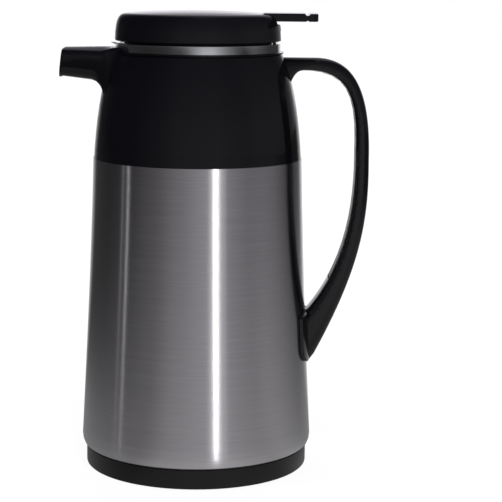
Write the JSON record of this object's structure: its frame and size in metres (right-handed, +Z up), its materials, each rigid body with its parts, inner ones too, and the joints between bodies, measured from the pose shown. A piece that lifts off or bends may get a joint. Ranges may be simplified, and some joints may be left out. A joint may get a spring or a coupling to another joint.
{
  "type": "thermal carafe",
  "caption": "Glass-lined vacuum carafe with a steel body, a moulded pouring shoulder, a hinged lid with a thumb lever and a C-shaped handle",
  "frame": {"origin": "on the body's axis at the plane of the table that the carafe stands on", "axes": "+Z up along the body's axis, -X towards the spout, +X towards the handle, +Y to the far side when the spout is on the left"},
  "size_m": [0.1847, 0.1394, 0.2741],
  "materials": {
    "brushed_steel": "brushed round the body",
    "bright_ring": "polished",
    "plain_steel": "plain",
    "gloss_black": "glossy moulded",
    "satin_black": "satin moulded",
    "silvered_glass": "smooth, silvered on the hidden side",
    "silicone": "matte"
  },
  "bodies": {
    "carafe": {"outer_shell": "brushed_steel", "base_ring": "satin_black", "base_cap": "satin_black", "bottom_cushion": "silicone", "glass_outer": "silvered_glass", "glass_inner": "silvered_glass", "glass_spacers": "silicone", "mouth_gasket": "silicone", "shoulder": "gloss_black", "pour_chamber": "gloss_black", "neck_ring": "bright_ring", "handle": "gloss_black", "handle_cover": "satin_black", "handle_backplate": "plain_steel", "handle_screws": "plain_steel"},
    "lid": {"lid_cover": "gloss_black", "lid_base": "satin_black", "lid_screws": "plain_steel", "stopper_seal": "silicone", "hinge_pin": "plain_steel", "lever_pin": "plain_steel", "valve_spring": "plain_steel"},
    "lever": {"lever": "gloss_black"},
    "valve": {"valve_stem": "satin_black", "stem_clip": "plain_steel", "valve_seal": "silicone"}
  },
  "joints": [
    {"name": "lid_hinge", "type": "hinge", "parent": "carafe", "child": "lid", "pos_m": [0.045, 0, 0.2626], "axis": [0, 1, 0], "range_deg": [0, 40]},
    {"name": "lever_press", "type": "hinge", "parent": "lid", "child": "lever", "pos_m": [0.036, 0, 0.2665], "axis": [0, 1, 0], "range_deg": [0, 7], "stiffness_Nm_per_rad": 0.6, "springref_deg": -6.88},
    {"name": "valve_lift", "type": "slide", "parent": "lid", "child": "valve", "axis": [0, 0, 1], "range_m": [0, 0.0043], "deforming": ["valve_spring"]}
  ],
  "couplings": [
    {"joint": "valve_lift", "follows": "lever_press", "m_per_rad": 0.0351}
  ]
}
